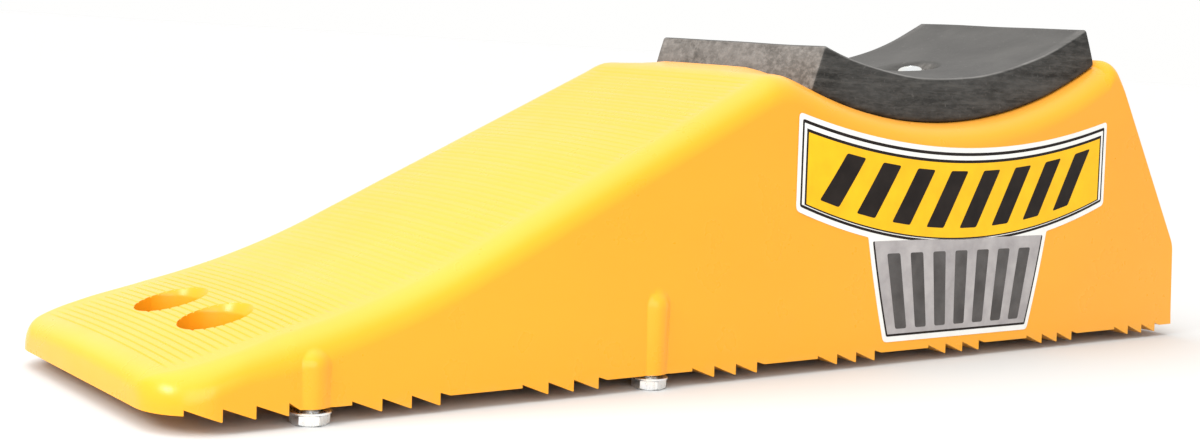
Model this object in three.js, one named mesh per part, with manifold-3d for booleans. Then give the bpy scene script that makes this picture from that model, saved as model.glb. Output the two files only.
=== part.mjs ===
// Tyre-changing wheel chock: a moulded plastic ramp with a wheel cradle, a bolted rubber pad,
// hex-headed grip bolts under the side walls and a plain decal on each side.
// Units are millimetres. X runs from the toe to the back, Y across, Z up.
// The origin is on the ground, under the middle of the object.
import * as THREE from 'three';
import Module from 'manifold-3d';
import { mergeVertices } from 'three/addons/utils/BufferGeometryUtils.js';

const wasm = await Module();
wasm.setup();

// ---- driving dimensions -------------------------------------------------------------------
const TOOTH = 12.7;               // pitch of the saw teeth along the bottom edge
const LENGTH = 47 * TOOTH;        // toe to back wall
const WIDTH = 150;                // over the side walls at the ground
const DRAFT = THREE.MathUtils.degToRad(3);
const EDGE_ROUND = 13;            // rounding where the top meets the side walls
const BACK_EDGE_ROUND = 6;        // the same, down the back slope
const BACK_EDGE_FADE = 15;        // length over which one becomes the other
const CROWN = 1.6;                // how much higher the ramp's middle is than its sides
const CROWN_FADE = { from: 200, to: 290 };          // the crown dies away towards the crest
const CORNER_ROUND = 22;          // toe corners seen from above
const HEAD_PROUD = 3;             // how far the grip bolts' heads stand below the teeth
const GAP = 0.3;                  // clearance between pieces that touch
const SLIVER = 0.03;              // edges left shorter than this by the cuts are merged away

// Heights in this file are above the tips of the teeth; the assembly then rises by HEAD_PROUD.
const FLAT_Z = 3.3;               // bottom edge between the groups of teeth
const TOE_Z = 4.3;                // underside of the toe
const VALLEY_Z = 4.7;             // roots of the teeth
const FIRST_TIP_Z = 1.75;         // the first group is cut a little shorter
const TIP_FLAT = 0.4;             // a tooth's tip is cut off this wide
const TOOTH_GROUPS = [2.77, 7.77, 13.77, 20.77, 26.77, 32.77, 38.77, 44.77].map((n) => n * TOOTH);

const CRADLE = { x: 399.5, z: 384.8, radius: 274 };   // axis and radius of the wheel cradle
const CRADLE_START_X = 313;
const CRADLE_END_X = 529;
const NOSE_Z = 10;                // the toe's nose turns under at this height
const TOE_TOP = { x: 9, z: 17.8 };                   // where the nose's rounding ends
const RAMP_FOOT = { x: 52, z: 29.2 };                // the low slope steepens from here
const RAMP_START = { x: 127, z: 54.4 };              // the straight ramp
const RAMP_END = { x: 277, z: 125.9 };
const PLATEAU_START = { x: 286, z: 130.4 };          // the short level crest
const PLATEAU_END = { x: 305, z: 133.2 };
const BACK_CREST = { x: 533.5, z: 149.2 };
const BACK_WALL_TOP = { x: LENGTH - 2.4, z: 52.4 };
const NOSE_STATIONS = [1.5, 4, 12.5, 17];            // extra cross-sections in the toe's corners

const DECK = 8;                   // thickness of the top over the cells underneath
const RIB = 6;                    // thickness of the ribs between the cells
const CELL_HALF_WIDTH = 60;       // the cells stop here, inside the side walls
const LONG_RIB_Y = 20;            // the two ribs that run along the ramp
const CENTRE_RIB_SHIFT = -18;     // moves the middle row's short ribs clear of the pad nuts
const TOE_CELLS = { start: 28, end: 69, innerY: 42 };

const HOLE = { x: 43.5, y: 20, radius: 13.3 };      // finger holes in the toe

const BOLT = {
  x: [4.63 * TOOTH, 17.21 * TOOTH],                   // front and rear pair
  bossTop: [24, 38.5],
  y: 69.9, bossRadius: 7.5, bossBottom: 3.4,
  shank: 3.97, acrossFlats: 12.7, headHeight: 3.8,
  headTurn: [0, THREE.MathUtils.degToRad(10)],        // turn of each pair's hexagons
  washerRadius: 8, washerHeight: 1, washerBore: 4.6,
  insertRadius: 5.4, insertLength: 13, seatRadius: 9,
};

const PAD = { thickness: 22.2, width: 114.3, startX: 316, endX: 529.1 };
const PAD_SCREW = {
  angles: [-2.1, 10.8].map((a) => THREE.MathUtils.degToRad(a)),   // from the cradle's lowest line
  shank: 3.97, sinkRadius: 13, sinkDepth: 5,
  washerRadius: 10.5, washerHeight: 1.4, washerBore: 4.6,
  headRadius: 7.2, headHeight: 3.4,
  seatRadius: 10.6, seatDepth: 12, seatBuried: 3,     // boss under the deck, from inside the deck
  underWasherRadius: 9, underWasherHeight: 1.4,
  nutFlats: 12.7, nutHeight: 6.7, nutBore: 4.3, tail: 3,
};

const DECAL = {
  thickness: 0.4, middle: 412, halfWidth: 115,
  cornerZ: 115, lowerZ: 71, archDrop: 15, lowerDrop: 13,
  panelHalfTop: 67, panelHalfBottom: 54, panelBottomZ: 8,
};

// ---- colours ------------------------------------------------------------------------------
function finish(color, roughness, metalness) {
  return new THREE.MeshStandardMaterial({ color, roughness, metalness });
}
const yellowPlastic = () => finish(0xf9c22e, 0.42, 0);
const greyRubber = () => finish(0x4b4b4a, 0.85, 0);
const zinc = () => finish(0xd5d8da, 0.3, 0.9);
const brass = () => finish(0xc9a54a, 0.35, 0.9);
const decalFilm = () => finish(0xf6f4ec, 0.35, 0);

// ---- solids -------------------------------------------------------------------------------
function solid(geometry) {
  const bare = geometry.index ? geometry.toNonIndexed() : geometry.clone();
  bare.deleteAttribute('normal');
  bare.deleteAttribute('uv');
  const merged = mergeVertices(bare, 1e-4);
  return new wasm.Manifold(new wasm.Mesh({
    numProp: 3,
    vertProperties: new Float32Array(merged.attributes.position.array),
    triVerts: new Uint32Array(merged.index.array),
  }));
}

function toGeometry(manifold) {
  const mesh = manifold.asOriginal().simplify(SLIVER).getMesh();
  const geometry = new THREE.BufferGeometry();
  geometry.setAttribute('position', new THREE.BufferAttribute(new Float32Array(mesh.vertProperties), 3));
  geometry.setIndex(new THREE.BufferAttribute(new Uint32Array(mesh.triVerts), 1));
  geometry.computeVertexNormals();
  return geometry;
}

// A side view outline (x, z), extruded across Y from y0 to y1.
function acrossY(shape, y0, y1, curveSegments = 24) {
  const geometry = new THREE.ExtrudeGeometry(shape, { depth: y1 - y0, bevelEnabled: false, curveSegments });
  geometry.rotateX(Math.PI / 2);
  geometry.translate(0, y1, 0);
  return geometry;
}

// An upright cylinder or prism between two heights.
function upright(radius, z0, z1, x, y, sides = 24) {
  const geometry = new THREE.CylinderGeometry(radius, radius, z1 - z0, sides);
  geometry.rotateX(Math.PI / 2);
  geometry.translate(x, y, (z0 + z1) / 2);
  return geometry;
}

// A ring with its axis on Z.
function ring(outer, inner, z0, z1, sides = 24) {
  const outline = [[inner, z0], [outer, z0], [outer, z1], [inner, z1], [inner, z0]];
  const geometry = new THREE.LatheGeometry(outline.map(([r, z]) => new THREE.Vector2(r, z)), sides);
  return geometry.rotateX(Math.PI / 2);
}

const hexRadius = (acrossFlats) => acrossFlats / 2 / Math.cos(Math.PI / 6);

// ---- ramp body ----------------------------------------------------------------------------
// The upper outline, from the toe's nose to the foot of the back wall.
function topOutline(path) {
  path.moveTo(0, NOSE_Z);
  path.quadraticCurveTo(0.6, 16.2, TOE_TOP.x, TOE_TOP.z);
  path.lineTo(RAMP_FOOT.x, RAMP_FOOT.z);
  path.quadraticCurveTo(92, 38, RAMP_START.x, RAMP_START.z);
  path.lineTo(RAMP_END.x, RAMP_END.z);
  path.quadraticCurveTo(281.5, 128.9, PLATEAU_START.x, PLATEAU_START.z);
  path.lineTo(PLATEAU_END.x - 6, PLATEAU_END.z - 0.4);
  path.quadraticCurveTo(PLATEAU_END.x + 1, PLATEAU_END.z, 309, 129);
  path.lineTo(CRADLE_START_X, cradleZ(CRADLE_START_X));
  const from = Math.atan2(cradleZ(CRADLE_START_X) - CRADLE.z, CRADLE_START_X - CRADLE.x);
  const to = Math.atan2(cradleZ(CRADLE_END_X) - CRADLE.z, CRADLE_END_X - CRADLE.x);
  path.absarc(CRADLE.x, CRADLE.z, CRADLE.radius, from, to, false);
  path.quadraticCurveTo(BACK_CREST.x, BACK_CREST.z + 2.2, BACK_CREST.x + 5, 141.7);
  path.lineTo(BACK_WALL_TOP.x - 1.2, BACK_WALL_TOP.z + 2);
  path.quadraticCurveTo(BACK_WALL_TOP.x, BACK_WALL_TOP.z, BACK_WALL_TOP.x + 0.2, BACK_WALL_TOP.z - 2.4);
  path.lineTo(LENGTH, FLAT_Z);
  return path;
}

function cradleZ(x) {
  return CRADLE.z - Math.sqrt(CRADLE.radius ** 2 - (x - CRADLE.x) ** 2);
}

const topPoints = topOutline(new THREE.Path()).getPoints(8).filter(
  (point, i, all) => i === 0 || point.distanceTo(all[i - 1]) > 0.05);

function topZ(x) {
  const next = topPoints.findIndex((point) => point.x > x);
  const [a, b] = [topPoints[next - 1], topPoints[next]];
  return THREE.MathUtils.mapLinear(x, a.x, b.x, a.y, b.y);
}

// How far the rounded toe corners draw the sides in at x.
function planInset(x) {
  const into = Math.max(CORNER_ROUND - x, 0);
  return CORNER_ROUND - Math.sqrt(CORNER_ROUND ** 2 - into ** 2);
}

// One cross-section of the drafted, round-edged envelope, as points (y, z).
function section(x, top) {
  const steps = 4;
  const along = THREE.MathUtils.smoothstep(x, CRADLE_END_X, CRADLE_END_X + BACK_EDGE_FADE);
  const widest = THREE.MathUtils.lerp(EDGE_ROUND, BACK_EDGE_ROUND, along);
  const round = Math.min(widest, 0.55 * (top - TOE_Z));
  const wallTop = top - round;
  const half = WIDTH / 2 - planInset(x);
  const shoulder = half - wallTop * Math.tan(DRAFT);
  const right = [[half, 0], [shoulder, wallTop]];
  for (let i = 1; i <= steps; i += 1) {
    const angle = (i / steps) * Math.PI / 2;
    right.push([shoulder - round + round * Math.cos(angle), wallTop + round * Math.sin(angle)]);
  }
  const crown = CROWN * (1 - THREE.MathUtils.smoothstep(x, CROWN_FADE.from, CROWN_FADE.to));
  const flat = shoulder - round;
  const middle = [0.5, 0, -0.5].map((share) => [share * flat, top + crown * (1 - share ** 2)]);
  return [...right, ...middle, ...right.map(([y, z]) => [-y, z]).reverse()];
}

function envelope() {
  const extra = NOSE_STATIONS.map((x) => new THREE.Vector2(x, topZ(x)));
  const stations = [...topPoints, ...extra].sort((a, b) => a.x - b.x || b.y - a.y);
  const rings = stations.map(({ x, y }) => section(x, y).map(([py, pz]) => [x, py, pz]));
  const count = rings[0].length;
  const positions = [];
  const quad = (a, b, c, d) => positions.push(...a, ...b, ...c, ...a, ...c, ...d);
  for (let s = 0; s + 1 < rings.length; s += 1) {
    for (let i = 0; i < count; i += 1) {
      const j = (i + 1) % count;
      quad(rings[s][i], rings[s][j], rings[s + 1][j], rings[s + 1][i]);
    }
  }
  const [first, last] = [rings[0], rings[rings.length - 1]];
  for (let i = 1; i + 1 < count; i += 1) {
    positions.push(...first[0], ...first[i + 1], ...first[i]);
    positions.push(...last[0], ...last[i], ...last[i + 1]);
  }
  const geometry = new THREE.BufferGeometry();
  geometry.setAttribute('position', new THREE.Float32BufferAttribute(positions, 3));
  return geometry;
}

// Side outline with the saw teeth along its lower edge.
function toothedOutline() {
  const shape = new THREE.Shape();
  shape.moveTo(-1, 200);
  shape.lineTo(-1, TOE_Z);
  TOOTH_GROUPS.forEach((centre, group) => {
    const tip = group === 0 ? FIRST_TIP_Z : 0;
    const before = group === 0 ? TOE_Z : FLAT_Z;
    shape.lineTo(centre - 2 * TOOTH, before);
    for (let tooth = -1; tooth <= 1; tooth += 1) {
      shape.lineTo(centre + (tooth - 1) * TOOTH, VALLEY_Z);
      shape.lineTo(centre + tooth * TOOTH - TIP_FLAT, tip);
      shape.lineTo(centre + tooth * TOOTH, tip);
    }
    shape.lineTo(centre + TOOTH, VALLEY_Z);
    shape.lineTo(centre + 1.36 * TOOTH, FLAT_Z);
  });
  shape.lineTo(LENGTH + 1, FLAT_Z);
  shape.lineTo(LENGTH + 1, 200);
  return shape;
}

// An open-bottomed cell between x0 and x1 whose roof follows the top at the deck's thickness.
function cell(x0, x1, y0, y1) {
  const shape = new THREE.Shape();
  shape.moveTo(x0, -5);
  const steps = 3;
  for (let i = 0; i <= steps; i += 1) {
    const x = THREE.MathUtils.lerp(x0, x1, i / steps);
    shape.lineTo(x, roofZ(x));
  }
  shape.lineTo(x1, -5);
  return acrossY(shape, y0, y1);
}

// Height of the cells' roof: the lowest top point nearby, less the deck measured square to it.
function roofZ(x) {
  const slope = Math.atan2(topZ(Math.min(x + 3, LENGTH - 4)) - topZ(x - 3), 6);
  return topZ(x) - DECK / Math.max(Math.cos(slope), 0.5);
}

function ribStations(shift) {
  const groups = TOOTH_GROUPS.slice(1);
  const all = [];
  groups.forEach((x, i) => {
    all.push(x);
    if (i + 1 < groups.length) all.push((x + groups[i + 1]) / 2 + shift);
  });
  return all;
}

function cells() {
  const made = [];
  const outer = [LONG_RIB_Y + RIB / 2, CELL_HALF_WIDTH];
  const rows = [
    { y: outer, shift: 0 },
    { y: outer.map((y) => -y).reverse(), shift: 0 },
    { y: [-(LONG_RIB_Y - RIB / 2), LONG_RIB_Y - RIB / 2], shift: CENTRE_RIB_SHIFT },
  ];
  rows.forEach(({ y: [y0, y1], shift }) => {
    let start = TOE_CELLS.end + RIB;
    ribStations(shift).forEach((x) => {
      made.push(cell(start, x - RIB / 2, y0, y1));
      start = x + RIB / 2;
    });
  });
  [1, -1].forEach((side) => {
    const [y0, y1] = [side * TOE_CELLS.innerY, side * CELL_HALF_WIDTH].sort((a, b) => a - b);
    made.push(cell(TOE_CELLS.start, TOE_CELLS.end, y0, y1));
  });
  return made;
}

// Places a geometry built on the Z axis onto a pad screw's axis: z is the distance up the axis
// from the cradle surface.
function onPadAxis(geometry, angle) {
  geometry.rotateY(-angle);
  return geometry.translate(
    CRADLE.x + CRADLE.radius * Math.sin(angle), 0, CRADLE.z - CRADLE.radius * Math.cos(angle));
}

function bodySolid() {
  let body = solid(envelope()).intersect(solid(acrossY(toothedOutline(), -WIDTH, WIDTH)));
  cells().forEach((hollow) => { body = body.subtract(solid(hollow)); });
  BOLT.x.forEach((x, i) => {
    [1, -1].forEach((side) => {
      const y = side * BOLT.y;
      const stemTop = BOLT.bossTop[i] - BOLT.bossRadius;
      const boreTop = BOLT.bossBottom + BOLT.insertLength + 2 * GAP;
      const crown = new THREE.SphereGeometry(BOLT.bossRadius, 20, 10);
      crown.rotateX(Math.PI / 2).translate(x, y, stemTop);
      const stem = upright(BOLT.bossRadius, BOLT.bossBottom - 1, stemTop, x, y, 20);
      const seat = upright(BOLT.seatRadius, -1, BOLT.bossBottom, x, y);
      const bore = upright(BOLT.insertRadius + GAP, -1, boreTop, x, y, 20);
      body = body.add(solid(stem)).add(solid(crown));
      body = body.subtract(solid(seat)).subtract(solid(bore));
    });
  });
  [1, -1].forEach((side) => {
    body = body.subtract(solid(upright(HOLE.radius, -1, 60, HOLE.x, side * HOLE.y, 32)));
  });
  PAD_SCREW.angles.forEach((angle) => {
    const seat = upright(PAD_SCREW.seatRadius, -PAD_SCREW.seatDepth, -PAD_SCREW.seatBuried, 0, 0);
    const bore = upright(PAD_SCREW.washerBore, -30, 30, 0, 0, 20);
    body = body.add(solid(onPadAxis(seat, angle))).subtract(solid(onPadAxis(bore, angle)));
  });
  return body;
}

// ---- cradle pad ---------------------------------------------------------------------------
function padSolid() {
  const lower = CRADLE.radius - GAP;
  const upper = CRADLE.radius - PAD.thickness;
  const [from, to] = [PAD.startX, PAD.endX].map((x) => -Math.acos((x - CRADLE.x) / lower));
  const shape = new THREE.Shape();
  shape.absarc(CRADLE.x, CRADLE.z, lower, from, to, false);
  shape.absarc(CRADLE.x, CRADLE.z, upper, to, from, true);
  let pad = solid(acrossY(shape, -PAD.width / 2, PAD.width / 2, 24));
  PAD_SCREW.angles.forEach((angle) => {
    const sinkFloor = PAD.thickness - PAD_SCREW.sinkDepth;
    const sink = upright(PAD_SCREW.sinkRadius, sinkFloor, sinkFloor + 20, 0, 0, 32);
    const bore = upright(PAD_SCREW.washerBore, -30, 30, 0, 0, 20);
    pad = pad.subtract(solid(onPadAxis(sink, angle))).subtract(solid(onPadAxis(bore, angle)));
  });
  return pad;
}

// ---- fasteners ----------------------------------------------------------------------------
// Round head on a plain shank, pointing down from the pad's counterbore to past the nut.
function padScrewGeometry() {
  const floor = PAD.thickness - PAD_SCREW.sinkDepth + PAD_SCREW.washerHeight + 2 * GAP;
  const end = -(PAD_SCREW.seatDepth + PAD_SCREW.underWasherHeight + PAD_SCREW.nutHeight + PAD_SCREW.tail);
  const outline = [
    [0, end], [PAD_SCREW.shank - 0.8, end], [PAD_SCREW.shank, end + 0.8], [PAD_SCREW.shank, floor],
    [PAD_SCREW.headRadius, floor], [PAD_SCREW.headRadius - 0.3, floor + 1.2],
    [PAD_SCREW.headRadius * 0.78, floor + 2.4],
    [PAD_SCREW.headRadius * 0.4, floor + PAD_SCREW.headHeight - 0.3],
    [0, floor + PAD_SCREW.headHeight],
  ];
  return new THREE.LatheGeometry(outline.map(([r, z]) => new THREE.Vector2(r, z)), 20).rotateX(Math.PI / 2);
}

function hexNut(acrossFlats, height, bore, z0) {
  const prism = solid(upright(hexRadius(acrossFlats), z0, z0 + height, 0, 0, 6));
  return toGeometry(prism.subtract(solid(upright(bore, z0 - 1, z0 + height + 1, 0, 0, 20))));
}

function gripBoltGeometry(turn) {
  const shankTop = BOLT.bossBottom + GAP + BOLT.insertLength - 1;
  const headTop = BOLT.headHeight - HEAD_PROUD;
  const hexagon = upright(hexRadius(BOLT.acrossFlats), -HEAD_PROUD, headTop, 0, 0, 6);
  const head = solid(hexagon.rotateZ(turn));
  return toGeometry(head.add(solid(upright(BOLT.shank, headTop - 1, shankTop, 0, 0, 20))));
}

// ---- decal --------------------------------------------------------------------------------
function decalGeometry() {
  const outline = [
    [-DECAL.halfWidth, DECAL.cornerZ],
    [-DECAL.halfWidth, DECAL.lowerZ],
    [-DECAL.panelHalfTop, DECAL.lowerZ - DECAL.lowerDrop],
    [-DECAL.panelHalfBottom, DECAL.panelBottomZ],
    [DECAL.panelHalfBottom, DECAL.panelBottomZ],
    [DECAL.panelHalfTop, DECAL.lowerZ - DECAL.lowerDrop],
    [DECAL.halfWidth, DECAL.lowerZ],
    [DECAL.halfWidth, DECAL.cornerZ],
  ];
  const shape = new THREE.Shape(outline.map(([x, z]) => new THREE.Vector2(DECAL.middle + x, z)));
  shape.quadraticCurveTo(
    DECAL.middle, DECAL.cornerZ - 2 * DECAL.archDrop, DECAL.middle - DECAL.halfWidth, DECAL.cornerZ);
  const geometry = acrossY(shape, -DECAL.thickness, 0, 16);
  return geometry.rotateX(-DRAFT).translate(0, -WIDTH / 2 - GAP, 0);
}

// ---- assembly -----------------------------------------------------------------------------
const wheelChock = new THREE.Group();
const onGround = new THREE.Group();
onGround.position.set(-LENGTH / 2, 0, HEAD_PROUD);
wheelChock.add(onGround);

function place(name, geometry, material, position = [0, 0, 0], tilt = 0) {
  const mesh = new THREE.Mesh(geometry, material);
  mesh.name = name;
  mesh.position.set(...position);
  mesh.rotation.y = tilt;
  onGround.add(mesh);
  return mesh;
}

place('ramp_body', toGeometry(bodySolid()), yellowPlastic());
place('cradle_pad', toGeometry(padSolid()), greyRubber());

['front', 'rear'].forEach((end, i) => {
  const angle = PAD_SCREW.angles[i];
  const at = [CRADLE.x + CRADLE.radius * Math.sin(angle), 0, CRADLE.z - CRADLE.radius * Math.cos(angle)];
  const washerZ = PAD.thickness - PAD_SCREW.sinkDepth + GAP;
  const underZ = -(PAD_SCREW.seatDepth + GAP);
  const nutZ = underZ - PAD_SCREW.underWasherHeight - GAP - PAD_SCREW.nutHeight;
  place(`pad_screw_${end}`, padScrewGeometry(), zinc(), at, -angle);
  const washerTop = washerZ + PAD_SCREW.washerHeight;
  const washer = ring(PAD_SCREW.washerRadius, PAD_SCREW.washerBore, washerZ, washerTop);
  place(`pad_screw_washer_${end}`, washer, zinc(), at, -angle);
  const underFoot = underZ - PAD_SCREW.underWasherHeight;
  const under = ring(PAD_SCREW.underWasherRadius, PAD_SCREW.washerBore, underFoot, underZ);
  place(`pad_nut_washer_${end}`, under, zinc(), at, -angle);
  const nut = hexNut(PAD_SCREW.nutFlats, PAD_SCREW.nutHeight, PAD_SCREW.nutBore, nutZ);
  place(`pad_nut_${end}`, nut, zinc(), at, -angle);
});

['front', 'rear'].forEach((end, i) => {
  [['right', -1], ['left', 1]].forEach(([sideName, side]) => {
    const at = [BOLT.x[i], side * BOLT.y, 0];
    const washerZ = BOLT.headHeight - HEAD_PROUD + GAP;
    const insertZ = BOLT.bossBottom + GAP;
    const washer = ring(BOLT.washerRadius, BOLT.washerBore, washerZ, washerZ + BOLT.washerHeight);
    const insert = ring(BOLT.insertRadius, BOLT.shank + GAP, insertZ, insertZ + BOLT.insertLength, 20);
    const bolt = gripBoltGeometry(side * BOLT.headTurn[i]);
    place(`grip_bolt_${end}_${sideName}`, bolt, zinc(), at);
    place(`grip_washer_${end}_${sideName}`, washer, zinc(), at);
    place(`threaded_insert_${end}_${sideName}`, insert, brass(), at);
  });
});

place('side_decal_right', decalGeometry(), decalFilm());
place('side_decal_left', decalGeometry().rotateZ(Math.PI).translate(2 * DECAL.middle, 0, 0), decalFilm());

export default wheelChock;
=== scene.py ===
"""Looks for the wheel chock: a moulded yellow ramp with a rubber cradle pad, grip bolts and side decals.

Shapes are worked out in millimetres in the chock's own axes: x from the toe's nose, y across and
z above the tips of the teeth. in_frame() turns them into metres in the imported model's frame.
"""
import math

import bmesh
import bpy
import numpy as np
from mathutils import Matrix, Vector


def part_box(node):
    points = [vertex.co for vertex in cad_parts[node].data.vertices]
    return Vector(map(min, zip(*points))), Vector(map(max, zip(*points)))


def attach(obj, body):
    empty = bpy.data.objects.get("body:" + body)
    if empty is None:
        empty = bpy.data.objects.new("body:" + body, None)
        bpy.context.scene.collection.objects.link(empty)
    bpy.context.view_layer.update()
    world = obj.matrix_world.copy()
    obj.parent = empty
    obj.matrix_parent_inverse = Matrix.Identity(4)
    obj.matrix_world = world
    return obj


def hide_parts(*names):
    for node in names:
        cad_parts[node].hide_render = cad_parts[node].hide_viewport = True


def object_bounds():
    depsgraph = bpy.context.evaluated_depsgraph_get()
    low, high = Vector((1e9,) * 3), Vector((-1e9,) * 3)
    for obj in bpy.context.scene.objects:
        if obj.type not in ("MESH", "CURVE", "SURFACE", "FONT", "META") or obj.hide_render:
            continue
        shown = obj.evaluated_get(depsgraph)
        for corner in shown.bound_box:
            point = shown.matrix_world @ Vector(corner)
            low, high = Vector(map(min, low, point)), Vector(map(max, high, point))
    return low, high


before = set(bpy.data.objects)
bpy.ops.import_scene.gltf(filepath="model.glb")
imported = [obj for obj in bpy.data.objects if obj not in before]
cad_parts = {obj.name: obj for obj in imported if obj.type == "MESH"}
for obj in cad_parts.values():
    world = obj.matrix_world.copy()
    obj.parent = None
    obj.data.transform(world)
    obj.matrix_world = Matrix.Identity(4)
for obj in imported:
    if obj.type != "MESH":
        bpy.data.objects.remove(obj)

MM = 0.001
CAD_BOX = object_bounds()
BODY_LOW, BODY_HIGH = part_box("ramp_body")
TOE = Vector((BODY_LOW.x, 0, BODY_LOW.z))          # under the toe's nose, at the tips of the teeth
HEADS_Z = (CAD_BOX[0].z - BODY_LOW.z) / MM         # the bolt heads reach down to here, below the teeth

# ---- driving dimensions, in millimetres ---------------------------------------------------------
TOOTH = 12.7                                       # pitch of the saw teeth
LENGTH = (BODY_HIGH.x - BODY_LOW.x) / MM
HALF_WIDTH = 75
DRAFT = math.radians(3)
EDGE_ROUND, BACK_EDGE_ROUND = 13, 6                # top edges along the ramp, and down the back
LIP_CORNER = (24, 58)                              # half-widths between which the crest's corners sink
CORNER_ROUND = 22                                  # toe corners seen from above
CROWN, CROWN_FADE = 1.6, (200, 290)                # the ramp's middle is higher, up to near the crest
GAP = 0.3                                          # clearance between neighbouring pieces

FLAT_Z, TOE_Z, VALLEY_Z = 3.3, 4.3, 4.7            # bottom edge between the teeth, under the toe, in notches
FIRST_TIP_Z, FIRST_VALLEY_Z = 1.75, 6.4            # the group of teeth under the toe
TOOTH_GROUPS = [n * TOOTH for n in (2.77, 7.77, 13.77, 20.77, 26.77, 32.77, 38.77, 44.77)]
TIP_FLAT = 0.4

CRADLE_X, CRADLE_Z, CRADLE_R = 399.5, 384.8, 274   # its axis and radius
CRADLE_START, CRADLE_END = 313, 529
BACK_CREST = (533.5, 149.2)
BACK_WALL_TOP = (LENGTH - 2.4, 52.4)               # where the slanting back meets the upright part

GROOVE_PITCH, GROOVE_HALF = TOOTH / 4, 57
GROOVE_DEPTHS = (0.42, 0.18)                       # on the toe, and worn up the ramp
GROOVE_WEAR = (58, 90)                             # the stretch over which they get shallower
GROOVE_SHAPE = (0, 0.10, 0.20, 0.30)               # its lips and floor, as shares of the pitch
GROOVES = range(3, 89)                             # where they lie, in pitches from the toe
GROOVE_RUN_OUT = 2.5                               # length over which a groove's end comes up

DECK, RIB, CELL_HALF, LONG_RIB_Y, CENTRE_SHIFT = 8, 6, 60, 20, -18
TOE_CELL = (28, 69, 42)                            # start, end and inner edge
CELL_ROUND = 2.6
HOLE_X, HOLE_Y, HOLE_R = 43.5, 20, 13.3
HOLE_LIP_Z, HOLE_FLARE = 28, math.radians(28)      # the lip flares above this height
HOLE_TOP = 45                                      # the cutter ends here, clear of the toe
BOSS_R, BOSS_TOPS, BOSS_BLEND = 6.5, (24.4, 38.4), 2.2
SEAT_R, SEAT_Z, INSERT_R, INSERT_LENGTH = 9, 3.4, 5.4, 13
KNURL = 0.35                                       # depth of the insert's teeth
BOLT_FLATS, BOLT_HEAD, SHANK_R = 12.7, 3.8, 3.97
HEAD_TURNS = (0, math.radians(10))                 # of the front and the rear pair's hexagons
THREAD_PITCH, THREAD_DEPTH = 1.27, 0.45
WASHER_BORE, BOLT_WASHER_R, BOLT_WASHER_THICK = 4.6, 8, 1
SCREW_HEAD_R, SCREW_HEAD_HIGH, SCREW_PROUD = 6.4, 3.2, 3    # SCREW_PROUD is its end below the nut
SCREW_WASHER_R, NUT_WASHER_R, WASHER_THICK = 10.5, 9, 1.4
NUT_FLATS, NUT_HIGH, NUT_BORE = 12.7, 6.7, 4.3

PAD_THICK, PAD_HALF, PAD_START, PAD_END = 22.2, 57.15, 316, 529.1
PAD_EDGE, PAD_FOOT_EDGE = 1.3, 2.4                 # rounding of the rubber's edges, and at its foot
DIMPLE_DEPTH, DIMPLE_FLOOR_R, DIMPLE_R = 5, 10.8, 17.5
PAD_BOSS_R, PAD_BOSS_DEPTH = 10.6, 12


def in_frame(points):
    """Points in the chock's own millimetres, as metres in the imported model's frame."""
    return np.asarray(points, float) * MM + np.array(TOE)


def centre_of(node):
    """The middle of a CAD node's box, in the chock's own millimetres."""
    low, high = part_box(node)
    return ((low + high) / 2 - TOE) / MM


BOLT_X = [centre_of(f"grip_bolt_{end}_right").x for end in ("front", "rear")]
BOLT_Y = abs(centre_of("grip_bolt_front_right").y)


def screw_angle(end):
    """How far a pad screw leans from the vertical: it points at the cradle's axis."""
    middle = centre_of(f"pad_screw_washer_{end}")
    return math.atan2(middle.x - CRADLE_X, CRADLE_Z - middle.z)


SCREW_ANGLES = {end: screw_angle(end) for end in ("front", "rear")}


# ---- small helpers ------------------------------------------------------------------------------
def smoothstep(x, low, high):
    """0 below low, 1 above high and a smooth rise between."""
    t = np.clip((x - low) / (high - low), 0, 1)
    return t * t * (3 - 2 * t)


def quadratic(a, b, c, steps):
    """Points of a quadratic curve from a to c with control point b, without its first point."""
    t = np.linspace(0, 1, steps + 1)[1:, None]
    a, b, c = map(np.array, (a, b, c))
    return list(map(tuple, (1 - t) ** 2 * a + 2 * t * (1 - t) * b + t ** 2 * c))


def straight(a, b, step):
    """Points from a to b about step apart, without the first."""
    count = max(1, math.ceil(math.dist(a, b) / step))
    return [tuple(np.array(a) + (np.array(b) - a) * i / count) for i in range(1, count + 1)]


def placed(name, data):
    """An object for a mesh, lamp or camera, in the scene."""
    made = bpy.data.objects.new(name, data)
    bpy.context.scene.collection.objects.link(made)
    return made


def object_from(name, points, faces, smooth_angle=30):
    """A mesh object from points in the chock's millimetres, shaded smooth up to an angle."""
    mesh = bpy.data.meshes.new(name)
    mesh.from_pydata(in_frame(points).tolist(), [], faces)
    mesh.validate()
    piece = placed(name, mesh)
    outward(mesh)
    shade(mesh, smooth_angle)
    return piece


def outward(mesh):
    """Turns every face of closed bodies to the outside."""
    work = bmesh.new()
    work.from_mesh(mesh)
    bmesh.ops.recalc_face_normals(work, faces=work.faces)
    work.to_mesh(mesh)
    work.free()


def shade(mesh, angle):
    """Smooth shading, with a sharp line wherever two faces meet at more than the angle."""
    mesh.shade_smooth()
    mesh.set_sharp_from_angle(angle=math.radians(angle))


def joined(parts):
    """Several (points, faces) as one."""
    points, faces, start = [], [], 0
    for some_points, some_faces in parts:
        points.extend(map(tuple, some_points))
        faces.extend([tuple(i + start for i in face) for face in some_faces])
        start += len(some_points)
    return points, faces


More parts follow.
